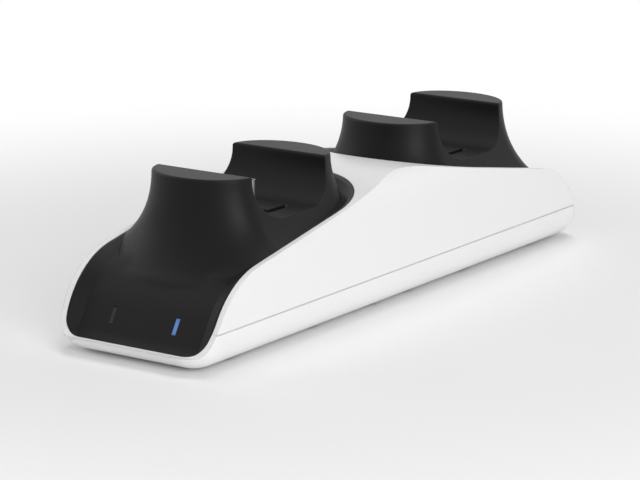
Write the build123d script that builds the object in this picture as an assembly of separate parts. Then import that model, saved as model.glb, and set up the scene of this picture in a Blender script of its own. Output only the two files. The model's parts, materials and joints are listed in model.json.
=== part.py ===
from build123d import *
from math import cos, radians, sin, sqrt, tan
import os

# A two-place charging dock: a white body that rises to a crest, with a black cradle let into each end.
# Origin on the table under the middle of the body, front end towards -Y, +Z up, millimetres.

# Body
body_length = 198.0
body_width = 51.5
corner_radius = 9.2
foot_proud = 0.8
seam_height = 9.9
tray_floor = 1.6
wall = 1.6
skin = 2.2
bottom_round = 8.0
seam_groove = 0.3
seam_gap = 0.15

# Side profile of the body: a low sill, a steep nose, a long ramp and a rounded crest
sill_height = 3.9
nose_setback = 14.8
nose_height = 22.5
nose_angle = 58.8
ramp_angle = 10.4
sill_radius = 2.0
nose_radius = 25.0
crest_radius = 60.0
shoulder_radius = 7.0
shoulder_rise = 0.3

# Cradle liner
liner_fit = 0.12
liner_depth = 2.3
liner_band = 3.6
liner_edge = 0.5
liner_wall = 2.0
ledge_thick = 1.8
ledge_radius = 4.0
liner_reach = 64.7
skirt = 6.0
rim_step = 0.15
cone_run = 3.0

# Posts and bay
bay_setback = 53.4
bay_gap = 33.9
bay_depth = 12.3
post_height = 45.0
post_chord = 31.2
post_bulge = 11.2
post_edge = 0.7
bay_round = 10.0
post_wall = 2.2
flare_radius = 25.0
flare_end = 0.92
flare_steps = 7

# Adapter and its socket
adapter_width = 23.0
adapter_depth = 9.3
adapter_height = 8.0
adapter_corner = 1.4
adapter_wall = 1.1
adapter_lid = 1.2
adapter_board_thick = 1.0
adapter_board_fit = 0.3
socket_fit = 0.2
socket_depth = 7.4
socket_floor = 1.6
socket_wall = 1.6
socket_lead = 0.6
plug_width = 8.25
plug_thick = 2.4
plug_wall = 0.3
plug_reach = 6.5
plug_fit = 0.1
plug_slot_width = 6.7
plug_slot_thick = 0.8
plug_slot_depth = 5.0
pad_width = 2.4
pad_length = 4.6
pad_thick = 0.2
pad_spread = 6.4

# Boards, contacts and wires
board_thick = 1.6
board_width = 24.0
board_rise = 4.8
board_gap = 0.1
contact_board_width = 26.0
contact_board_depth = 11.0
contact_board_thick = 1.2
contact_gap = 3.0
leaf_thick = 0.25
leaf_width = 1.6
leaf_half = 2.4
leaf_tip = 0.8
leaf_round = 0.5
leaf_tail = 1.4
leaf_slot_fit = 0.4
leaf_touch = 0.05
wire_diameter = 1.3
wire_spread = 12.0
wire_shift = 6.0
wire_drop = 2.5
wire_round = 3.0
chip_side = 5.0
chip_height = 0.9
chip_shift = 20.0

# Light bars
bar_spread = 20.8
bar_width = 1.1
bar_height = 3.8
bar_middle = 9.4
bar_back = 16.3
bar_fit = 0.08
led_width = 2.6
led_depth = 1.4
led_height = 1.5
led_gap = 0.2

# Power inlet at the rear end
inlet_width = 8.94
inlet_height = 3.2
inlet_depth = 7.3
inlet_round = 1.5
inlet_wall = 0.3
inlet_fit = 0.15
tongue_width = 6.7
tongue_thick = 0.7
tongue_back = 1.2
inlet_setback = 12.3
pocket_width = 13.5
pocket_height = 7.6
pocket_wall = 1.6
pocket_round = 1.2

# Screws that hold the tray to the shell and the cradles
case_shank = 2.0
case_hole = 2.1
case_clear = 2.6
case_head = 4.2
case_head_clear = 4.8
case_head_height = 1.7
case_screw = 8.0
case_seat = 3.4
case_spare = 1.0
case_tube = 7.4
leg_diameter = 6.4
leg_inset = 8.75
leg_front = 22.3
leg_back = 60.3
boss_shift = 9.0

# Screws that hold the boards
board_shank = 1.8
board_hole = 1.9
board_clear = 2.1
board_head = 3.4
board_head_height = 1.1
board_screw = 3.2
board_spare = 0.3
board_boss = 4.4
board_post_spread = 18.0
board_post_shift = 34.0
contact_post_spread = 20.0

# Feet
foot_diameter = 9.0
foot_recess = 0.5
foot_fit = 0.15
foot_inset = 13.25
foot_setback = 13.5

half = body_length / 2
far = body_length + body_width
tray_top = foot_proud + tray_floor
seam_z = foot_proud + seam_height
sill_z = foot_proud + sill_height
ledge_z = tray_top + ledge_thick
head_z = foot_proud + case_seat
board_z = tray_top + board_rise
board_top = board_z + board_thick
board_front = bar_back + board_gap - half
board_rear = half - inlet_setback - pocket_wall - board_gap
bay_y = bay_setback - half
front_flat = bay_y - bay_gap / 2
rear_flat = bay_y + bay_gap / 2
post_top = foot_proud + post_height
bay_z = post_top - bay_depth
socket_z = bay_z - socket_depth
well_z = socket_z - socket_floor
contact_z = well_z - contact_gap
leg_x = body_width / 2 - leg_inset
foot_x = body_width / 2 - foot_inset
case_spots = [(sx * leg_x, sy * y) for sx in (-1, 1) for sy in (-1, 1)
              for y in (half - leg_front, half - leg_back, boss_shift)]


def block(width, depth, z0, z1, x=0, y=0):
    return Pos(x, y, z0) * extrude(Rectangle(width, depth), z1 - z0)


def rod(diameter, z0, z1, x=0, y=0):
    return Pos(x, y, z0) * extrude(Circle(diameter / 2), z1 - z0)


def slab(width, y0, y1, z0, z1):
    return block(width, y1 - y0, z0, z1, y=(y0 + y1) / 2)


def turned(shape):
    return Rot(0, 0, 180) * shape


def corners(x, y):
    return [(sx * x, sy * y) for sx in (-1, 1) for sy in (-1, 1)]


# Outline of the body in plan, set in by a wall.
def plan(inset, z0, z1):
    outline = RectangleRounded(body_width - 2 * inset, body_length - 2 * inset, corner_radius - inset)
    return Pos(0, 0, z0) * extrude(outline, z1 - z0)


# The same outline with its bottom edge rolled under.
def hull(inset, z0, z1):
    body = plan(inset, z0, z1)
    return fillet(body.faces().sort_by(Axis.Z)[0].edges(), bottom_round - inset)


# Corner between the steep nose and the ramp, set in square to both.
def nose_corner(inset):
    a = radians(nose_angle)
    b = radians(ramp_angle)
    k = inset / (1 + cos(a - b))
    return nose_setback + k * (sin(a) + sin(b)) - half, foot_proud + nose_height - k * (cos(a) + cos(b))


# Corners of the side profile from the front end to the crest.
def profile_points(inset, sill):
    nose_y, nose_z = nose_corner(inset)
    foot_y = nose_y - (nose_z - sill) / tan(radians(nose_angle))
    crest_z = nose_z - nose_y * tan(radians(ramp_angle))
    return (-far, sill), (foot_y, sill), (nose_y, nose_z), (0, crest_z)


# Everything under the side profile.
def under_profile(inset, sill, sill_round):
    start, foot, nose, crest = profile_points(inset, sill)
    front = [start, foot, nose]
    rear = [(-y, z) for y, z in reversed(front)]
    bends = [0, sill_round, nose_radius - inset]
    radii = bends + [crest_radius] + bends[::-1] + [0, 0]
    edges = FilletPolyline(*front, crest, *rear, (far, -far), (-far, -far), radius=radii, close=True)
    return extrude(Plane.YZ * make_face(edges), body_width, both=True)


# Rounded top edges of the crest, seen from the end.
def shoulders(inset):
    crest_z = profile_points(0, sill_z)[3][1] - crest_radius * (1 / cos(radians(ramp_angle)) - 1)
    x = body_width / 2 - inset
    top = crest_z + shoulder_rise - inset
    bend = shoulder_radius - inset
    edges = FilletPolyline((-x, -far), (-x, top), (x, top), (x, -far), radius=[0, bend, bend, 0], close=True)
    return extrude(Plane.XZ * make_face(edges), far, both=True)


# Everything over the liner's floor, as far as the middle of its half-round end.
def over_floor(x, inset, sill, sill_round):
    start, foot, nose, crest = profile_points(inset, sill)
    slope = radians(ramp_angle)
    end_y = liner_reach - half - (liner_depth - inset) * sin(slope)
    end = (end_y, nose[1] + (end_y - nose[0]) * tan(slope))
    lift = (end[0] - far * sin(slope), end[1] + far * cos(slope))
    radii = [0, sill_round, nose_radius - inset, 0, 0, 0]
    edges = FilletPolyline(start, foot, nose, end, lift, (-far, 2 * far), radius=radii, close=True)
    return Plane.YZ.offset(x) * make_face(edges), end


# The opening for the front cradle: straight sides and a half-round inner end.
def opening(inset, z0, z1):
    half_width = body_width / 2 - wall - inset
    centre = liner_reach - half
    strip = Pos(0, centre - half / 2) * Rectangle(2 * half_width, half)
    sketch = strip + Pos(0, centre) * Circle(half_width)
    return (Pos(0, 0, z0) * extrude(sketch, z1 - z0)) & hull(wall + inset, z0, z1)


# The dish of the liner: its floor, and a sloped band that rises to the rim all round.
def dish():
    outer = body_width / 2 - wall - liner_fit - liner_edge
    inner = outer - liner_band
    floor, end = over_floor(0, liner_depth, ledge_z, ledge_radius)
    cut = extrude(floor, inner, both=True)
    for side in (-1, 1):
        low = over_floor(side * inner, liner_depth, ledge_z, ledge_radius)[0]
        high = over_floor(side * outer, 0, sill_z, sill_radius)[0]
        cut += loft([low, high], ruled=True)
    square = Plane((0, *end), x_dir=(1, 0, 0), z_dir=(0, -sin(radians(ramp_angle)), cos(radians(ramp_angle))))
    wide = inner + cone_run * liner_band
    return cut + square * Cone(inner, wide, cone_run * liner_depth, align=(Align.CENTER, Align.CENTER, Align.MIN))


# How far a flare has swept outwards at a depth below its start; it runs on straight past its end.
def sweep_out(depth, radius):
    turn = min(max(depth, 0), flare_end * radius)
    run_on = max(depth - turn, 0) * flare_end / sqrt(1 - flare_end ** 2)
    return radius - sqrt(radius ** 2 - turn ** 2) + run_on


# One saddle for both posts: straight sides between two half-oval ends, flared down onto the liner.
def saddle(inset):
    nose_y, nose_z = nose_corner(nose_radius)
    floor_radius = nose_radius - liner_depth
    ball = flare_radius + floor_radius
    lean = nose_y - (front_flat - post_bulge - flare_radius)
    rise = sqrt(ball ** 2 - lean ** 2)
    late = post_top - nose_z - rise
    drop = late + rise * flare_radius / ball
    faces = []
    for i in range(flare_steps + 1):
        depth = drop * i / flare_steps
        out = sweep_out(depth, flare_radius) - inset
        side = post_chord / 2 + out
        nose = post_bulge + sweep_out(depth - late, flare_radius) - inset
        outline = Line((-side, front_flat), (-side, rear_flat)) + Line((side, front_flat), (side, rear_flat))
        outline += EllipticalCenterArc((0, front_flat), side, nose, 180, arc_size=180)
        outline += EllipticalCenterArc((0, rear_flat), side, post_bulge + out, arc_size=180)
        faces.append(Pos(0, 0, post_top - depth) * make_face(outline))
    return loft(faces)


# The bay between the posts, a trough with rounded lower corners.
def bay(inset):
    trough = slab(2 * body_width, front_flat - inset, rear_flat + inset, bay_z - inset, far)
    return fillet(trough.edges().filter_by(Axis.X).group_by(Axis.Z)[0], bay_round + inset)


def socket(inset, z0, z1):
    width = adapter_width + 2 * (socket_fit + inset)
    depth = adapter_depth + 2 * (socket_fit + inset)
    outline = RectangleRounded(width, depth, adapter_corner + inset)
    return Pos(0, bay_y, z0) * extrude(outline, z1 - z0)


# Both posts, with their top edges rounded.
def posts():
    pair = saddle(0) - bay(0)
    return fillet(pair.faces().filter_by(Axis.Z).group_by(Axis.Z)[-1].edges(), post_edge)


# The cradle moulding: liner, posts, socket and legs in one piece. extra is added inside its outer form.
def cradle(extra):
    liner = (opening(liner_fit, tray_top, far) & under_profile(rim_step, sill_z - rim_step, sill_radius)) - dish()
    full = liner + (posts() & opening(liner_fit, tray_top, far))
    hollow = under_profile(liner_depth + liner_wall, 0, 0)
    hollow += (saddle(post_wall) & block(far, far, 0, post_top - post_wall)) - bay(post_wall)
    hollow = hollow & opening(liner_fit + liner_wall, -far, far)
    body = full - hollow - under_profile(liner_depth + skirt, 0, 0)
    legs = [rod(leg_diameter, seam_z, far, sx * leg_x, y - half)
            for sx in (-1, 1) for y in (leg_front, leg_back)]
    for piece in legs + [socket(socket_wall, well_z, bay_z)] + extra:
        body += piece & full
    for sx in (-1, 1):
        x = sx * contact_post_spread / 2
        body += rod(board_boss, contact_z, well_z, x, bay_y)
        body -= rod(board_hole, 0, well_z + board_spare, x, bay_y)
        slot = leaf_width + 2 * leaf_slot_fit
        body -= block(slot, 2 * (leaf_half + leaf_slot_fit), contact_z, bay_z, sx * pad_spread / 2, bay_y)
        for y in (leg_front, leg_back):
            body -= rod(case_hole, 0, head_z + case_screw + case_spare, sx * leg_x, y - half)
    mouth = [socket(inset, z, z + socket_lead).faces().sort_by(Axis.Z)[0]
             for inset, z in ((0, bay_z - socket_lead), (socket_lead, bay_z))]
    return body - socket(0, socket_z, far) - loft(mouth)


# A light bar: its front lies in the sloped face of the liner, or stands proud of it to cut the slot.
def light_bar(x, fit, proud):
    start, foot, nose, crest = profile_points(liner_depth, ledge_z)
    low = foot_proud + bar_middle - bar_height / 2 - fit
    high = low + bar_height + 2 * fit
    lean = tan(radians(nose_angle))
    back = bar_back - half + fit
    points = [(foot[0] + (z - foot[1]) / lean - proud, z) for z in (low, high)]
    face = make_face(Polyline(*points, (back, high), (back, low), close=True))
    return Pos(x, 0, 0) * extrude(Plane.YZ * face, bar_width / 2 + fit, both=True)


# A slab with the section of the power inlet, from its mouth inwards.
def inlet(inset, start, depth):
    z = board_top + inlet_height / 2
    outline = RectangleRounded(inlet_width - 2 * inset, inlet_height - 2 * inset, inlet_round - inset)
    place = Plane((0, half - inlet_setback - start, z), x_dir=(-1, 0, 0), z_dir=(0, -1, 0))
    return place * extrude(outline, depth)


def case_screws():
    screws = []
    for x, y in case_spots:
        head = rod(case_head, head_z - case_head_height, head_z, x, y)
        screws.append(head + rod(case_shank, head_z, head_z + case_screw, x, y))
    return screws


def board_screws():
    head = rod(board_head, 0, board_head_height)
    screw = head + rod(board_shank, -board_screw, 0)
    screws = [Pos(x, y, board_top) * screw for x, y in corners(board_post_spread / 2, board_post_shift)]
    for x, y in corners(contact_post_spread / 2, bay_y):
        screws.append(Pos(x, y, contact_z - contact_board_thick) * Rot(180, 0, 0) * screw)
    return screws


# Upper shell: hollow, with an opening for each cradle and four screw bosses under the crest
def upper_shell():
    outer = plan(0, seam_z, far) & under_profile(0, sill_z, sill_radius) & shoulders(0)
    inner = plan(wall, seam_z, far) & under_profile(skin, 0, 0) & shoulders(skin)
    shell = outer - inner - opening(0, -far, far) - turned(opening(0, -far, far)) - groove
    for x, y in corners(leg_x, boss_shift):
        shell += rod(leg_diameter, seam_z, far, x, y) & outer
        shell -= rod(case_hole, 0, head_z + case_screw + case_spare, x, y)
    return shell


# Base tray with its screw tubes, board posts and foot recesses
def base_tray():
    tray = hull(0, foot_proud, seam_z) & under_profile(0, sill_z, sill_radius)
    tray = tray - hull(wall, tray_top, far) - groove
    for x, y in case_spots:
        tray += rod(case_tube, foot_proud + tray_floor / 2, seam_z, x, y)
        tray -= rod(case_head_clear, 0, head_z, x, y)
        tray -= rod(case_clear, 0, far, x, y)
    for x, y in corners(board_post_spread / 2, board_post_shift):
        tray += rod(board_boss, foot_proud + tray_floor / 2, board_z, x, y)
        tray -= rod(board_hole, board_top - board_screw - board_spare, far, x, y)
    for x, y in corners(foot_x, half - foot_setback):
        tray -= rod(foot_diameter + 2 * foot_fit, 0, foot_proud + foot_recess, x, y)
    return tray


# Front cradle, slotted for the light bars
def front_cradle():
    body = cradle([])
    for x in (-bar_spread / 2, bar_spread / 2):
        body -= light_bar(x, bar_fit, liner_depth)
    return body


# Rear cradle, with a rounded pocket round the power inlet; made at the front and turned
def rear_cradle():
    middle = board_top + inlet_height / 2
    face = inlet_setback - half
    top = middle + pocket_height / 2
    housing = slab(pocket_width + 2 * pocket_wall, -far, face + pocket_wall, tray_top, top + pocket_wall)
    body = cradle([housing])
    pocket = slab(pocket_width, -far, face, top - pocket_height, top)
    body -= fillet(pocket.edges().filter_by(Axis.Y), pocket_round)
    return turned(body) - inlet(-inlet_fit, -inlet_depth, 2 * inlet_depth)


def main_board():
    board = slab(board_width, board_front, board_rear, board_z, board_top)
    for x, y in corners(board_post_spread / 2, board_post_shift):
        board -= rod(board_clear, 0, far, x, y)
    return board


def contact_board():
    low = contact_z - contact_board_thick
    board = block(contact_board_width, contact_board_depth, low, contact_z, y=bay_y)
    for sx in (-1, 1):
        board -= rod(board_clear, 0, far, sx * contact_post_spread / 2, bay_y)
    return board


# A bent leaf: a foot on the contact board, an arm that doubles back, a rounded tip under the pad
def leaf_contacts():
    low = contact_z + leaf_thick / 2
    high = socket_z - leaf_touch - leaf_thick / 2
    points = [(-leaf_half, low), (leaf_half, low), (leaf_tip, high), (-leaf_tip, high), (-leaf_half, high - leaf_tail)]
    strip = trace(FilletPolyline(*points, radius=leaf_round), leaf_thick)
    leaf = extrude(Plane.YZ * strip, leaf_width / 2, both=True)
    return [Pos(sx * pad_spread / 2, bay_y, 0) * leaf for sx in (-1, 1)]


# A pair of wires from the contact board down to the main board
def wires():
    high = contact_z - contact_board_thick
    points = [(bay_y, high), (bay_y, high - wire_drop)]
    points += [(bay_y + wire_shift, board_top + wire_drop), (bay_y + wire_shift, board_top)]
    pair = []
    for sx in (-1, 1):
        x = sx * wire_spread / 2
        path = FilletPolyline(*[(x, y, z) for y, z in points], radius=wire_round)
        pair.append(sweep(Plane((x, bay_y, high), z_dir=(0, 0, -1)) * Circle(wire_diameter / 2), path))
    return pair


# Pieces of the front adapter, seated in its socket with the plug upwards
def adapter():
    lid_z = socket_z + adapter_lid
    top = socket_z + adapter_height
    root = lid_z + adapter_board_thick
    tip = top + plug_reach
    room = 2 * adapter_wall

    def outline(inset, z0, z1):
        shape = RectangleRounded(adapter_width - 2 * inset, adapter_depth - 2 * inset, adapter_corner - inset)
        return Pos(0, bay_y, z0) * extrude(shape, z1 - z0)

    def plug(inset, z0, z1):
        return Pos(0, bay_y, z0) * extrude(SlotOverall(plug_width - 2 * inset, plug_thick - 2 * inset), z1 - z0)

    def pads(z0, z1):
        return [block(pad_width, pad_length, z0, z1, sx * pad_spread / 2, bay_y) for sx in (-1, 1)]

    case = outline(0, lid_z, top) - outline(adapter_wall, lid_z, top - adapter_wall) - plug(-plug_fit, lid_z, tip)
    lid = outline(0, socket_z, lid_z)
    for pad in pads(socket_z, socket_z + pad_thick):
        lid -= pad
    board_w = adapter_width - room - 2 * adapter_board_fit
    board_d = adapter_depth - room - 2 * adapter_board_fit
    slot = block(plug_slot_width, plug_slot_thick, tip - plug_slot_depth, tip, y=bay_y)
    return {
        "adapter_case": case,
        "adapter_lid": lid,
        "adapter_pads": pads(socket_z, socket_z + pad_thick),
        "adapter_board": block(board_w, board_d, lid_z, root, y=bay_y),
        "plug_shell": plug(0, root, tip) - plug(plug_wall, root, tip),
        "plug_insert": plug(plug_wall, root, tip) - slot,
    }


def inlet_shell():
    return inlet(0, 0, inlet_depth) - inlet(inlet_wall, 0, inlet_depth)


def inlet_tongue():
    back = inlet(inlet_wall, inlet_depth - tongue_back, tongue_back)
    z = board_top + (inlet_height - tongue_thick) / 2
    mouth = half - inlet_setback
    return back + slab(tongue_width, mouth - inlet_depth, mouth - tongue_back, z, z + tongue_thick)


groove_low = seam_z - seam_gap
groove_high = seam_z + seam_gap
groove = plan(-wall, groove_low, groove_high) - plan(seam_groove, groove_low, groove_high)

nodes = {
    "upper_shell": upper_shell(),
    "base_tray": base_tray(),
    "front_cradle": front_cradle(),
    "rear_cradle": rear_cradle(),
    "main_board": main_board(),
    "inlet_shell": inlet_shell(),
    "inlet_tongue": inlet_tongue(),
    "case_screws": case_screws(),
    "board_screws": board_screws(),
    "charge_chips": [block(chip_side, chip_side, board_top, board_top + chip_height, y=sy * chip_shift)
                     for sy in (-1, 1)],
}
for side, x in (("left", -bar_spread / 2), ("right", bar_spread / 2)):
    nodes[side + "_light_pipe"] = light_bar(x, 0, 0)
    y = board_front + led_gap + led_depth / 2
    nodes[side + "_led"] = block(led_width, led_depth, board_top, board_top + led_height, x, y)
for x, y in corners(foot_x, half - foot_setback):
    name = ("foot_front" if y < 0 else "foot_rear") + ("_left" if x < 0 else "_right")
    nodes[name] = rod(foot_diameter, 0, foot_proud + foot_recess, x, y)
bay_pieces = {"contact_board": contact_board(), "leaf_contacts": leaf_contacts(), "wires": wires(), **adapter()}
for name, shape in bay_pieces.items():
    nodes["front_" + name] = shape
    nodes["rear_" + name] = [turned(s) for s in shape] if isinstance(shape, list) else turned(shape)

os.makedirs("parts", exist_ok=True)
for name, shape in nodes.items():
    export_step(Compound(shape) if isinstance(shape, list) else shape, "parts/" + name + ".step")
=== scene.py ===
import bmesh
import bpy
import json
import math
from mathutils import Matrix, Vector


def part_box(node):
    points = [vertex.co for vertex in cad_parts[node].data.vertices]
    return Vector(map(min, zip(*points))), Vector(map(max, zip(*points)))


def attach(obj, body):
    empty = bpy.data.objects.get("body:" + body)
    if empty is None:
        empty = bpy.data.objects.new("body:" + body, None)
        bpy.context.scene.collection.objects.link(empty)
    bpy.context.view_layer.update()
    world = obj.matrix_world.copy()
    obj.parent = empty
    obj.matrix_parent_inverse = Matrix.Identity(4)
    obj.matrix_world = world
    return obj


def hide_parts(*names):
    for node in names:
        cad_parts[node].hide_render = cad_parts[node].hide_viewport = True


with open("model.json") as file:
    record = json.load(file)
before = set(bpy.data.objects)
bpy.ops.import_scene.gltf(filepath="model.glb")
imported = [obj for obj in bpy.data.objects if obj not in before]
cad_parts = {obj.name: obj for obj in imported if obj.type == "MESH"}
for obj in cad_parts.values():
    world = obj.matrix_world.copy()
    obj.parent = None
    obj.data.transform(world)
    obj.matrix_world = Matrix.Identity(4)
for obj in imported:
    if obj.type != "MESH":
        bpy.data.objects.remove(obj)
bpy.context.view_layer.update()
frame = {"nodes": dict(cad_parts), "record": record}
nodes = frame["nodes"]
mm = 0.001
smoothAngle = 35    # degrees between faces that still shade as one
noiseMiddle = 0.5    # middle of a noise texture's range
fineDetail = 3.0    # octaves of a fine noise
print("frame loaded:", len(nodes), "nodes")


# a socket of a node tree; arithmetic on it adds Math nodes
class Sock:
    def __init__(self, tree, socket=None):
        self.tree = tree
        self.socket = socket

    def add(self, kind, ins=None, out=0, **settings):
        node = self.tree.nodes.new(kind)
        stops = settings.pop("stops", ())
        for name, value in settings.items():
            setattr(node, name, value)
        for i, (place, shade) in enumerate(stops):
            node.color_ramp.elements[i].position = place
            node.color_ramp.elements[i].color = (shade, shade, shade, 1)
        for name, value in (ins or {}).items():
            self.plug(node.inputs[name], value)
        return Sock(self.tree, node.outputs[out])

    def plug(self, target, value):
        if isinstance(value, Sock):
            self.tree.links.new(value.socket, target)
        else:
            target.default_value = value

    def math(self, operation, *values):
        return self.add("ShaderNodeMath", dict(enumerate(values)), operation=operation)

    def __add__(self, other):
        return self.math("ADD", self, other)

    __radd__ = __add__

    def __mul__(self, other):
        return self.math("MULTIPLY", self, other)

    __rmul__ = __mul__

    def __sub__(self, other):
        return self.math("SUBTRACT", self, other)

    def __rsub__(self, other):
        return self.math("SUBTRACT", other, self)

    def __truediv__(self, other):
        return self.math("DIVIDE", self, other)

    def __gt__(self, other):
        return self.math("GREATER_THAN", self, other)

    def __abs__(self):
        return self.math("ABSOLUTE", self)

    def most(self, other):
        return self.math("MAXIMUM", self, other)

    def least(self, other):
        return self.math("MINIMUM", self, other)

    def zigzag(self, pitch):    # up and down between 0 and pitch
        return self.math("PINGPONG", self, pitch)

    def ramp(self, *stops):    # two pairs of place and shade
        return self.add("ShaderNodeValToRGB", {"Fac": self}, stops=stops)

    def blend(self, first, second):    # self is the share of the second colour
        return self.add("ShaderNodeMix", {"Factor": self, 6: first, 7: second}, out=2, data_type="RGBA")

    def noise(self, size, detail=2.0):    # self is the coordinates, size in metres
        return self.add("ShaderNodeTexNoise", {"Vector": self, "Scale": 1 / size, "Detail": detail})

    def stretched(self, along):
        return self.add("ShaderNodeMapping", {"Vector": self, "Scale": along})

    def axis(self, letter):
        return self.add("ShaderNodeSeparateXYZ", {0: self}, out=letter)

    def bump(self, depth, edge=None):    # self is the height from 0 to 1, depth in metres
        ins = {"Height": self, "Distance": depth, "Strength": 1.0}
        if edge:
            ins["Normal"] = edge
        return self.add("ShaderNodeBump", ins)


def newFinish(name, fixed):
    material = bpy.data.materials.new(name)
    material.use_nodes = True
    shader = material.node_tree.nodes["Principled BSDF"]
    for socket, value in fixed.items():
        shader.inputs[socket].default_value = value
    place = Sock(material.node_tree).add("ShaderNodeTexCoord", out="Object")
    return material, shader, place


def rgba(color, gain=1.0):
    return (color[0] * gain, color[1] * gain, color[2] * gain, 1)


# share of a soft crease, full at a height and gone above, below and towards the sides
def creaseShare(place, crease):
    away = abs(place.axis("Z") - crease["height"])
    aside = abs(place.axis("X"))
    level = (1 - away / crease["reach"]).most(0.0)
    return level * ((crease["side"] - aside) / crease["sideFade"]).most(0.0).least(1.0)


edgeSamples = 6    # rays that find a softened edge


# moulded plastic: a fine spark-eroded grain, faint flow mottling, gloss that wanders,
# and softened edges a little glossier, with a painted highlight that lightens their colour
def mouldedPlastic(name, look):
    material, shader, place = newFinish(name, {"IOR": 1.5, "Specular IOR Level": look["gloss"]})
    flow = place.noise(look["flowSize"])
    grain = place.noise(look["grainSize"], fineDetail)
    radius = look["edgeRadius"]
    if "crease" in look:
        radius = radius + look["creaseRadius"] * creaseShare(place, look["crease"])
    edge = place.add("ShaderNodeBevel", {"Radius": radius}, samples=edgeSamples)
    face = place.add("ShaderNodeNewGeometry", out="Normal")
    square = place.add("ShaderNodeVectorMath", {0: edge, 1: face}, out="Value", operation="DOT_PRODUCT")
    edgeShare = ((1 - square) * look["edgeReach"]).least(1.0)
    tint = flow.blend(rgba(look["color"], 1 - look["mottle"]), rgba(look["color"], 1 + look["mottle"]))
    # painted highlight: the colour along softened edges is blended towards a lighter shade
    tint = (edgeShare * look["paintedHighlightShare"]).blend(tint, rgba(look["paintedHighlightColor"]))
    place.plug(shader.inputs["Base Color"], tint)
    rough = look["roughness"] + look["glossDrift"] * (flow - noiseMiddle)
    rough = rough + look["glossGrain"] * (grain - noiseMiddle)
    place.plug(shader.inputs["Roughness"], rough - look["edgeGloss"] * edgeShare)
    place.plug(shader.inputs["Normal"], grain.bump(look["grainDepth"], edge))
    return material


# the edge colour in each look is a painted highlight, lighter than the plastic itself
whiteLook = {"color": (0.82, 0.82, 0.825), "mottle": 0.012, "flowSize": 30 * mm,
             "gloss": 0.5, "roughness": 0.38, "glossDrift": 0.05, "glossGrain": 0.06,
             "grainSize": 0.5 * mm, "grainDepth": 0.008 * mm, "edgeRadius": 0.35 * mm,
             "edgeReach": 3.0, "paintedHighlightShare": 0.25, "paintedHighlightColor": (0.86, 0.86, 0.86), "edgeGloss": 0.06}
blackLook = {"color": (0.005, 0.005, 0.0053), "mottle": 0.08, "flowSize": 24 * mm,
             "gloss": 0.15, "roughness": 0.45, "glossDrift": 0.06, "glossGrain": 0.12,
             "grainSize": 0.6 * mm, "grainDepth": 0.02 * mm, "edgeRadius": 0.35 * mm,
             "edgeReach": 3.0, "paintedHighlightShare": 0.3, "paintedHighlightColor": (0.02, 0.02, 0.021), "edgeGloss": 0.1,
             "crease": {"height": 21.5 * mm, "reach": 7 * mm, "side": 20.5 * mm, "sideFade": 3 * mm},
             "creaseRadius": 4 * mm}
adapterLook = {"color": (0.005, 0.005, 0.0053), "mottle": 0.08, "flowSize": 10 * mm,
               "gloss": 0.15, "roughness": 0.42, "glossDrift": 0.05, "glossGrain": 0.1,
               "grainSize": 0.4 * mm, "grainDepth": 0.012 * mm, "edgeRadius": 0.25 * mm,
               "edgeReach": 3.0, "paintedHighlightShare": 0.3, "paintedHighlightColor": (0.02, 0.02, 0.021), "edgeGloss": 0.1}
insertLook = {"color": (0.008, 0.008, 0.009), "mottle": 0.06, "flowSize": 4 * mm,
              "gloss": 0.5, "roughness": 0.34, "glossDrift": 0.04, "glossGrain": 0.05,
              "grainSize": 0.3 * mm, "grainDepth": 0.005 * mm, "edgeRadius": 0.1 * mm,
              "edgeReach": 2.0, "paintedHighlightShare": 0.2, "paintedHighlightColor": (0.02, 0.02, 0.02), "edgeGloss": 0.05}
chipLook = {"color": (0.014, 0.014, 0.015), "mottle": 0.1, "flowSize": 2 * mm,
            "gloss": 0.5, "roughness": 0.55, "glossDrift": 0.05, "glossGrain": 0.15,
            "grainSize": 0.1 * mm, "grainDepth": 0.006 * mm, "edgeRadius": 0.1 * mm,
            "edgeReach": 2.0, "paintedHighlightShare": 0.2, "paintedHighlightColor": (0.03, 0.03, 0.03), "edgeGloss": 0.05}
rubberLook = {"color": (0.018, 0.018, 0.019), "mottle": 0.15, "flowSize": 3 * mm,
              "gloss": 0.5, "roughness": 0.82, "glossDrift": 0.08, "glossGrain": 0.2,
              "grainSize": 0.2 * mm, "grainDepth": 0.02 * mm, "edgeRadius": 0.2 * mm,
              "edgeReach": 2.0, "paintedHighlightShare": 0.3, "paintedHighlightColor": (0.05, 0.05, 0.05), "edgeGloss": 0.05}
footRubber = mouldedPlastic("footRubber", rubberLook)


metalWear = {"streakDetail": 4.0, "dull": 0.9, "bright": 1.05,
             "tarnishFrom": 0.45, "tarnishTo": 0.8, "tarnishRough": 0.15}


# drawn or plated metal: streaks along the way it was drawn, a breath of tarnish
def drawnMetal(name, look):
    material, shader, place = newFinish(name, {"Metallic": 1.0})
    streak = place.stretched(look["along"]).noise(look["streakSize"], metalWear["streakDetail"])
    tarnish = place.noise(look["tarnishSize"], fineDetail)
    bright = streak.blend(rgba(look["color"], metalWear["dull"]), rgba(look["color"], metalWear["bright"]))
    share = tarnish.ramp((metalWear["tarnishFrom"], 0.0), (metalWear["tarnishTo"], look["tarnish"]))
    place.plug(shader.inputs["Base Color"], share.blend(bright, rgba(look["tarnishColor"])))
    rough = look["roughness"] + look["glossDrift"] * (streak - noiseMiddle)
    place.plug(shader.inputs["Roughness"], rough + metalWear["tarnishRough"] * tarnish)
    place.plug(shader.inputs["Normal"], streak.bump(look["streakDepth"]))
    return material


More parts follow.
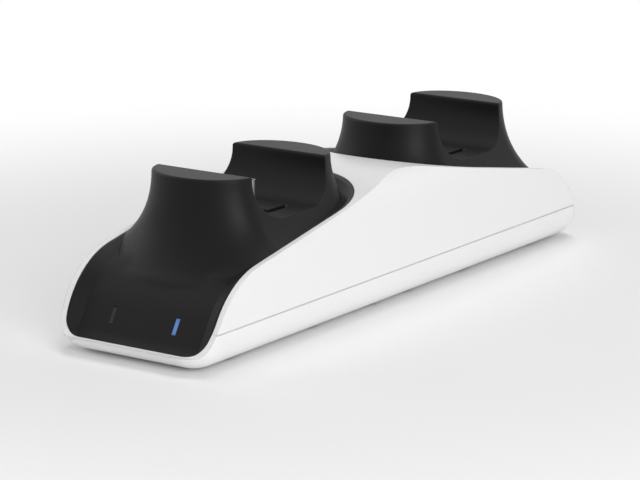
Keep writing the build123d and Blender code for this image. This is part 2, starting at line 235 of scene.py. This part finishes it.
shellSteelLook = {"color": (0.3, 0.296, 0.29), "roughness": 0.3, "glossDrift": 0.12, "along": (1, 1, 0.08),
                  "streakSize": 0.2 * mm, "streakDepth": 0.003 * mm,
                  "tarnishSize": 2 * mm, "tarnish": 0.3, "tarnishColor": (0.38, 0.36, 0.33)}
screwSteelLook = {"color": (0.55, 0.55, 0.56), "roughness": 0.3, "glossDrift": 0.1, "along": (1, 1, 1),
                  "streakSize": 0.3 * mm, "streakDepth": 0.004 * mm,
                  "tarnishSize": 1 * mm, "tarnish": 0.5, "tarnishColor": (0.3, 0.3, 0.31)}
brassLook = {"color": (0.83, 0.6, 0.24), "roughness": 0.2, "glossDrift": 0.1, "along": (1, 0.2, 0.2),
             "streakSize": 0.2 * mm, "streakDepth": 0.002 * mm,
             "tarnishSize": 1.5 * mm, "tarnish": 0.3, "tarnishColor": (0.5, 0.32, 0.12)}
screwSteel = drawnMetal("screwSteel", screwSteelLook)
gildedBrass = drawnMetal("gildedBrass", brassLook)


# glass-fibre board: green mask over copper tracks that run both ways, with tinned pads
boardLook = {"mask": (0.006, 0.07, 0.028), "track": (0.012, 0.12, 0.045), "pad": (0.5, 0.49, 0.46),
             "pitch": 1.2 * mm, "trackFrom": 0.62, "patchSize": 7 * mm, "patchFrom": 0.5,
             "padSize": 1.6 * mm, "padFrom": 0.71, "padMetal": 0.9, "weaveSize": 0.3 * mm,
             "roughness": 0.35, "glossDrift": 0.1, "trackHeight": 0.7, "weaveHeight": 0.3, "depth": 0.03 * mm}


def boardFinish(look):
    material, shader, place = newFinish("boardFinish", {"IOR": 1.55})
    gap = look["pitch"] * look["trackFrom"]
    east = place.axis("X").zigzag(look["pitch"]) > gap
    north = place.axis("Y").zigzag(look["pitch"]) > gap
    patch = place.noise(look["patchSize"], 0.0) > look["patchFrom"]
    track = patch * east + (1 - patch) * north
    weave = place.noise(look["weaveSize"])
    pad = place.noise(look["padSize"], 0.0) > look["padFrom"]
    tint = track.blend(rgba(look["mask"]), rgba(look["track"]))
    place.plug(shader.inputs["Base Color"], pad.blend(tint, rgba(look["pad"])))
    place.plug(shader.inputs["Metallic"], pad * look["padMetal"])
    place.plug(shader.inputs["Roughness"], look["roughness"] + look["glossDrift"] * (weave - noiseMiddle))
    height = track * look["trackHeight"] + weave * look["weaveHeight"]
    place.plug(shader.inputs["Normal"], height.bump(look["depth"]))
    return material


# wires: one sleeve red and one black, told apart by the side they run on
sleeveLook = {"red": (0.42, 0.012, 0.01), "black": (0.012, 0.012, 0.013), "dust": (0.1, 0.09, 0.09),
              "dustShare": 0.2, "dustSize": 2 * mm, "roughness": 0.42, "glossDrift": 0.2, "depth": 0.01 * mm}


def wireSleeve(look):
    material, shader, place = newFinish("wireSleeve", {"IOR": 1.5})
    rightSide = place.axis("X") > 0.0
    mottle = place.noise(look["dustSize"], fineDetail)
    tint = rightSide.blend(rgba(look["black"]), rgba(look["red"]))
    place.plug(shader.inputs["Base Color"], (mottle * look["dustShare"]).blend(tint, rgba(look["dust"])))
    place.plug(shader.inputs["Roughness"], look["roughness"] + look["glossDrift"] * (mottle - noiseMiddle))
    place.plug(shader.inputs["Normal"], mottle.bump(look["depth"]))
    return material


# small light body: clear resin over a yellow phosphor spot
lampLook = {"resin": (0.75, 0.72, 0.6), "phosphor": (0.8, 0.62, 0.1), "hazeSize": 0.6 * mm,
            "hazeFrom": 0.4, "hazeTo": 0.6, "roughness": 0.2, "glossDrift": 0.1}


def lightBody(look):
    material, shader, place = newFinish("lightBody", {"IOR": 1.5})
    haze = place.noise(look["hazeSize"], fineDetail)
    share = haze.ramp((look["hazeFrom"], 0.0), (look["hazeTo"], 1.0))
    place.plug(shader.inputs["Base Color"], share.blend(rgba(look["resin"]), rgba(look["phosphor"])))
    place.plug(shader.inputs["Roughness"], look["roughness"] + look["glossDrift"] * haze)
    return material


# light bars: smoked clear plastic, lit from behind where glow is set, strongest at mid height
barLook = {"gloss": 0.2, "roughness": 0.3, "glossDrift": 0.12, "hazeSize": 0.8 * mm, "mottle": 0.15,
           "fade": 0.3, "glowLow": 0.94, "glowDrift": 0.12, "depth": 0.005 * mm}
unlitLook = {"smoke": (0.024, 0.024, 0.026), "glow": (0.0, 0.0, 0.0)}
litLook = {"smoke": (0.03, 0.045, 0.08), "glow": (0.08, 0.18, 0.44)}


def barFinish(name, look):
    fixed = {"IOR": 1.49, "Specular IOR Level": barLook["gloss"], "Emission Strength": 1.0}
    material, shader, place = newFinish(name, fixed)
    low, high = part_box("left_light_pipe")
    middle = (low[2] + high[2]) / 2
    reach = (high[2] - low[2]) / 2
    away = abs(place.axis("Z") - middle) / reach
    haze = place.noise(barLook["hazeSize"], fineDetail)
    thin, thick = rgba(look["smoke"], 1 - barLook["mottle"]), rgba(look["smoke"], 1 + barLook["mottle"])
    place.plug(shader.inputs["Base Color"], haze.blend(thin, thick))
    rough = barLook["roughness"] + barLook["glossDrift"] * (haze - noiseMiddle)
    place.plug(shader.inputs["Roughness"], rough)
    level = (1 - barLook["fade"] * away * away) * (barLook["glowLow"] + barLook["glowDrift"] * haze)
    place.plug(shader.inputs["Emission Color"], level.blend((0, 0, 0, 1), rgba(look["glow"])))
    place.plug(shader.inputs["Normal"], haze.bump(barLook["depth"]))
    return material


finishes = {
    "white_plastic": mouldedPlastic("whitePlastic", whiteLook),
    "black_plastic": mouldedPlastic("blackPlastic", blackLook),
    "adapter_plastic": mouldedPlastic("adapterPlastic", adapterLook),
    "connector_insert": mouldedPlastic("insertPlastic", insertLook),
    "chip_body": mouldedPlastic("chipResin", chipLook),
    "foot_rubber": footRubber,
    "connector_steel": drawnMetal("shellSteel", shellSteelLook),
    "screw_steel": screwSteel,
    "contact_brass": gildedBrass,
    "circuit_board": boardFinish(boardLook),
    "wire_sleeve": wireSleeve(sleeveLook),
    "led_body": lightBody(lampLook),
    "light_unlit": barFinish("unlitBar", unlitLook),
    "light_lit": barFinish("litBar", litLook),
}
for entry in frame["record"]["subparts"]:
    nodes[entry["node"]].data.materials.clear()
    nodes[entry["node"]].data.materials.append(finishes[entry["material_slot"]])
print("finishes assigned")

spotDigits = 3    # decimals of a millimetre that tell points apart


# loose solids of a group node, each as a list of points in millimetres
def islands(node):
    mesh = nodes[node].data
    spots = [tuple(round(c / mm, spotDigits) for c in vertex.co) for vertex in mesh.vertices]
    leader = {spot: spot for spot in spots}

    def top(spot):
        while leader[spot] != spot:
            spot = leader[spot]
        return spot

    for face in mesh.polygons:
        first = top(spots[face.vertices[0]])
        for corner in face.vertices[1:]:
            leader[top(spots[corner])] = first
    groups = {}
    for spot in leader:
        groups.setdefault(top(spot), []).append(spot)
    return list(groups.values())


def newTree(name, sizes):
    tree = bpy.data.node_groups.new(name, "GeometryNodeTree")
    tree.interface.new_socket("Geometry", in_out="INPUT", socket_type="NodeSocketGeometry")
    for size, kind in sizes.items():
        tree.interface.new_socket(size, in_out="INPUT", socket_type="NodeSocket" + kind)
    tree.interface.new_socket("Geometry", in_out="OUTPUT", socket_type="NodeSocketGeometry")
    return tree, lambda size: Sock(tree).add("NodeGroupInput", out=size)


def closeTree(tree, shape, finish):
    shape = shape.add("GeometryNodeRealizeInstances", {"Geometry": shape})
    shape = shape.add("GeometryNodeSetMaterial", {"Geometry": shape, "Material": finish})
    end = tree.nodes.new("NodeGroupOutput")
    shape.plug(end.inputs["Geometry"], shape)


def smoothUpTo(mesh, angle):
    for face in mesh.polygons:
        face.use_smooth = True
    mesh.set_sharp_from_angle(angle=math.radians(angle))


# runs a tree on points and keeps the result as a plain mesh
def growPiece(name, points, tree, sizes, flips=()):
    mesh = bpy.data.meshes.new(name)
    mesh.from_pydata(points, [], [])
    flip = mesh.attributes.new("flip", "FLOAT", "POINT")
    for i, value in enumerate(flips):
        flip.data[i].value = value
    piece = bpy.data.objects.new(name, mesh)
    bpy.context.scene.collection.objects.link(piece)
    modifier = piece.modifiers.new(name, "NODES")
    modifier.node_group = tree
    for item in tree.interface.items_tree:
        if item.in_out == "INPUT" and item.name in sizes:
            modifier[item.identifier] = sizes[item.name]
    grown = bpy.data.meshes.new_from_object(piece.evaluated_get(bpy.context.evaluated_depsgraph_get()))
    piece.modifiers.remove(modifier)
    piece.data = grown
    smoothUpTo(grown, smoothAngle)
    return piece


# screws: a pan head with a bevelled rim and a cross recess, a plain shank with a blunt point
screwLook = {"sides": 32, "rimShare": 0.55, "rimPull": 0.74, "recessShare": 0.56, "recessThin": 0.3,
             "recessDeep": 0.6, "pointShare": 0.12, "pointPull": 0.6, "seed": 7,
             "rimFind": 0.98, "tipFind": 0.01}    # share of the reach and millimetres that find rim and tip


def screwTree():
    tree, size = newTree("screwSet", {"Head Diameter": "Float", "Head Height": "Float",
                                      "Shank Diameter": "Float", "Shank Length": "Float",
                                      "Seed": "Int", "Steel": "Material"})
    wide, tall = size("Head Diameter"), size("Head Height")
    thin, long = size("Shank Diameter"), size("Shank Length")
    rim = tall * screwLook["rimShare"]
    point = long * screwLook["pointShare"]
    flat = wide * screwLook["rimPull"]
    blunt = thin * screwLook["pointPull"]

    def frustum(low, high, depth, z):    # diameter at z and at z + depth
        shape = wide.add("GeometryNodeMeshCone", {"Vertices": screwLook["sides"], "Depth": depth,
                                                  "Radius Bottom": low * 0.5, "Radius Top": high * 0.5},
                         fill_type="NGON")
        return move(shape, z)

    def move(shape, z):
        shift = wide.add("ShaderNodeCombineXYZ", {"Z": z})
        return wide.add("GeometryNodeTransform", {"Geometry": shape, "Translation": shift})

    def bar(x, y):
        box = wide.add("ShaderNodeCombineXYZ", {"X": x, "Y": y, "Z": tall * screwLook["recessDeep"] * 2})
        return move(wide.add("GeometryNodeMeshCube", {"Size": box}), 0 - tall)

    def weld(operation, first, others):
        node = tree.nodes.new("GeometryNodeMeshBoolean")
        node.operation = operation
        node.solver = "EXACT"
        if first:
            tree.links.new(first.socket, node.inputs[0])
        for other in others:
            tree.links.new(other.socket, node.inputs[1])
        return Sock(tree, node.outputs[0])

    solid = weld("UNION", None, [
        frustum(flat, wide, tall - rim, 0 - tall),
        frustum(wide, wide, rim, 0 - rim),
        frustum(thin, thin, long - point, 0.0),
        frustum(thin, blunt, point, long - point),
    ])
    arm = wide * screwLook["recessShare"]
    narrow = arm * screwLook["recessThin"]
    solid = weld("DIFFERENCE", solid, [bar(arm, narrow), bar(narrow, arm)])
    flip = wide.add("GeometryNodeInputNamedAttribute", {"Name": "flip"}, data_type="FLOAT")
    spin = wide.add("FunctionNodeRandomValue", {2: 0.0, 3: 2 * math.pi, "Seed": size("Seed")},
                    out=1, data_type="FLOAT")
    turn = wide.add("ShaderNodeCombineXYZ", {"X": flip * math.pi, "Z": spin})
    spots = size("Geometry")
    shape = wide.add("GeometryNodeInstanceOnPoints", {"Points": spots, "Instance": solid, "Rotation": turn})
    closeTree(tree, shape, size("Steel"))
    return tree


# reads where the screws of a group node sit, which way up they are and how big
def screwPiece(name, node, tree):
    spots, flips = [], []
    for points in islands(node):
        xs, ys, zs = zip(*points)
        x, y = (min(xs) + max(xs)) / 2, (min(ys) + max(ys)) / 2
        low, high = min(zs), max(zs)
        reach = [math.hypot(px - x, py - y) for px, py, pz in points]
        head = [pz for pz, r in zip(zs, reach) if r > screwLook["rimFind"] * max(reach)]
        upper = sum(head) / len(head) > (low + high) / 2
        seat, tip = (min(head), low) if upper else (max(head), high)
        shank = [r for pz, r in zip(zs, reach) if abs(pz - tip) < screwLook["tipFind"]]
        tall = max(head) - min(head)
        spots.append((x * mm, y * mm, seat * mm))
        flips.append(1.0 if upper else 0.0)
        sizes = {"Head Diameter": 2 * max(reach) * mm, "Head Height": tall * mm,
                 "Shank Diameter": 2 * max(shank) * mm, "Shank Length": (high - low - tall) * mm}
    sizes.update({"Seed": screwLook["seed"], "Steel": screwSteel})
    piece = growPiece(name, spots, tree, sizes, flips)
    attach(piece, "root")
    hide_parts(node)
    print(name, len(spots), "screws,", len(piece.data.polygons), "faces")


screws = screwTree()
screwPiece("caseScrewSet", "case_screws", screws)
screwPiece("boardScrewSet", "board_screws", screws)


# rows of gilded contacts: in the slot of each plug, and on both faces of the inlet's tongue
contactLook = {"count": 12, "pitch": 0.5 * mm, "width": 0.26 * mm, "thick": 0.12 * mm, "length": 3.6 * mm,
               "plugSlot": 0.8 * mm, "plugBack": 0.8 * mm, "tongueThick": 0.7 * mm, "tongueBack": 0.4 * mm}


def contactTree():
    tree, size = newTree("contactRows", {"Count": "Int", "Pitch": "Float", "Width": "Float",
                                         "Thickness": "Float", "Length": "Float", "Tilt": "Float",
                                         "Gold": "Material"})
    pitch = size("Pitch")
    box = pitch.add("ShaderNodeCombineXYZ", {"X": size("Width"), "Y": size("Thickness"), "Z": size("Length")})
    strip = pitch.add("GeometryNodeMeshCube", {"Size": box})
    start = pitch.add("ShaderNodeCombineXYZ", {"X": -0.5 * pitch * (size("Count") - 1)})
    step = pitch.add("ShaderNodeCombineXYZ", {"X": pitch})
    spread = {"Count": size("Count"), "Start Location": start, "Offset": step}
    line = pitch.add("GeometryNodeMeshLine", spread)
    row = pitch.add("GeometryNodeInstanceOnPoints", {"Points": line, "Instance": strip})
    row = pitch.add("GeometryNodeRealizeInstances", {"Geometry": row})
    turn = pitch.add("ShaderNodeCombineXYZ", {"X": size("Tilt")})
    spots = size("Geometry")
    shape = pitch.add("GeometryNodeInstanceOnPoints", {"Points": spots, "Instance": row, "Rotation": turn})
    closeTree(tree, shape, size("Gold"))
    return tree


def contactPiece(name, spots, tree, tilt):
    sizes = {"Count": contactLook["count"], "Pitch": contactLook["pitch"], "Width": contactLook["width"],
             "Thickness": contactLook["thick"], "Length": contactLook["length"], "Tilt": tilt,
             "Gold": gildedBrass}
    piece = growPiece(name, spots, tree, sizes)
    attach(piece, "root")
    print(name, len(spots), "rows")


contacts = contactTree()
bothSides = (-0.5, 0.5)
slotSpots = []
for insert in ("front_plug_insert", "rear_plug_insert"):
    low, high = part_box(insert)
    z = high[2] - contactLook["plugBack"] - contactLook["length"] / 2
    for side in bothSides:
        slotSpots.append((0, (low[1] + high[1]) / 2 + side * contactLook["plugSlot"], z))
contactPiece("plugContacts", slotSpots, contacts, 0.0)
low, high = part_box("inlet_tongue")
y = high[1] - contactLook["tongueBack"] - contactLook["length"] / 2
tongueSpots = [(0, y, (low[2] + high[2]) / 2 + side * contactLook["tongueThick"]) for side in bothSides]
contactPiece("inletContacts", tongueSpots, contacts, math.pi / 2)


# rubber feet: turned, with a shallow cup underneath and a rounded lower rim;
# the profile's points are shares of the radius and of the height
footLook = {"steps": 56, "merge": 0.001 * mm,
            "profile": [(0.0, 0.16), (0.5, 0.16), (0.56, 0.05), (0.62, 0.0), (0.9, 0.0),
                        (0.96, 0.04), (1.0, 0.16), (1.0, 1.0), (0.0, 1.0)]}


def turnedFoot(node):
    low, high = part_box(node)
    reach = (high[0] - low[0]) / 2
    tall = high[2] - low[2]
    form = bmesh.new()
    line = [form.verts.new((r * reach, 0, low[2] + z * tall)) for r, z in footLook["profile"]]
    edges = [form.edges.new(pair) for pair in zip(line, line[1:])]
    bmesh.ops.spin(form, geom=line + edges, axis=(0, 0, 1), cent=(0, 0, 0), angle=2 * math.pi,
                   steps=footLook["steps"])
    bmesh.ops.remove_doubles(form, verts=form.verts, dist=footLook["merge"])
    bmesh.ops.recalc_face_normals(form, faces=form.faces)
    centre = ((low[0] + high[0]) / 2, (low[1] + high[1]) / 2, 0)
    bmesh.ops.translate(form, verts=form.verts, vec=centre)
    mesh = bpy.data.meshes.new(node + "Turned")
    form.to_mesh(mesh)
    form.free()
    smoothUpTo(mesh, smoothAngle)
    mesh.materials.append(footRubber)
    foot = bpy.data.objects.new(node + "Turned", mesh)
    bpy.context.scene.collection.objects.link(foot)
    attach(foot, "root")
    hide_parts(node)


for node in ("foot_front_left", "foot_front_right", "foot_rear_left", "foot_rear_right"):
    turnedFoot(node)
print("feet turned")

# stage: pale floor that turns white away from the dock, soft studio light
stageLook = {"floorSize": 6.0, "floorColor": (0.94, 0.94, 0.94), "floorRough": 0.9,
             "whiteFrom": 0.11, "whiteTo": 0.3, "worldLight": 0.35}


# one for what the camera sees straight, in a mirror or through glass
def seenRay(tree):
    seen = Sock(tree).add("ShaderNodeLightPath", out="Is Camera Ray")
    for kind in ("Is Glossy Ray", "Is Transmission Ray"):
        seen = seen.most(seen.add("ShaderNodeLightPath", out=kind))
    return seen


def paleFloor():
    half = stageLook["floorSize"] / 2
    mesh = bpy.data.meshes.new("floor")
    corners = [(-half, -half, 0), (half, -half, 0), (half, half, 0), (-half, half, 0)]
    mesh.from_pydata(corners, [], [(0, 1, 2, 3)])
    floor = bpy.data.objects.new("floor", mesh)
    bpy.context.scene.collection.objects.link(floor)
    fixed = {"Roughness": stageLook["floorRough"], "Base Color": rgba(stageLook["floorColor"])}
    material, shader, place = newFinish("floorFinish", fixed)
    away = place.add("ShaderNodeVectorMath", {0: place}, out="Value", operation="LENGTH")
    far = place.add("ShaderNodeMapRange", {"Value": away, "From Min": stageLook["whiteFrom"],
                                           "From Max": stageLook["whiteTo"]}, interpolation_type="SMOOTHSTEP")
    white = place.add("ShaderNodeEmission", {"Strength": 1.0})
    floorShade = Sock(material.node_tree, shader.outputs[0])
    mix = place.add("ShaderNodeMixShader", {0: far * seenRay(material.node_tree), 1: floorShade, 2: white})
    place.plug(material.node_tree.nodes["Material Output"].inputs["Surface"], mix)
    mesh.materials.append(material)


def softWorld():
    world = bpy.data.worlds.new("softWorld")
    bpy.context.scene.world = world
    world.use_nodes = True
    tree = world.node_tree
    seen = seenRay(tree)
    strength = stageLook["worldLight"] + (1 - stageLook["worldLight"]) * seen
    seen.plug(tree.nodes["Background"].inputs["Strength"], strength)
    tree.nodes["Background"].inputs["Color"].default_value = (1, 1, 1, 1)


lamps = {
    "keyLamp": {"at": (0.95, -0.6, 0.32), "size": 0.7, "power": 7.6},
    "fillLamp": {"at": (-0.9, -0.2, 0.45), "size": 0.5, "power": 1.2},
    "topLamp": {"at": (0.0, 0.3, 1.2), "size": 0.9, "power": 5.5},
}


def studioLamps():
    for name, lamp in lamps.items():
        light = bpy.data.lights.new(name, "AREA")
        light.size = lamp["size"]
        light.energy = lamp["power"]
        bulb = bpy.data.objects.new(name, light)
        bulb.location = lamp["at"]
        bulb.rotation_euler = (-Vector(lamp["at"])).to_track_quat("-Z", "Y").to_euler()
        bpy.context.scene.collection.objects.link(bulb)


# the photograph's viewpoint, turned a little down and framed closer on the dock
view = {"at": (453.5 * mm, -665.8 * mm, 208.7 * mm), "pitch": 13.57, "azimuth": 34.6,
        "lens": 163.0, "sensor": 36.0}


def setCamera():
    data = bpy.data.cameras.new("viewCamera")
    data.lens = view["lens"]
    data.sensor_width = view["sensor"]
    camera = bpy.data.objects.new("viewCamera", data)
    camera.location = view["at"]
    camera.rotation_euler = (math.radians(90 - view["pitch"]), 0, math.radians(view["azimuth"]))
    bpy.context.scene.collection.objects.link(camera)
    bpy.context.scene.camera = camera


paleFloor()
softWorld()
studioLamps()
setCamera()
bpy.context.scene.view_settings.view_transform = "Standard"
print("stage, lamps and camera set")
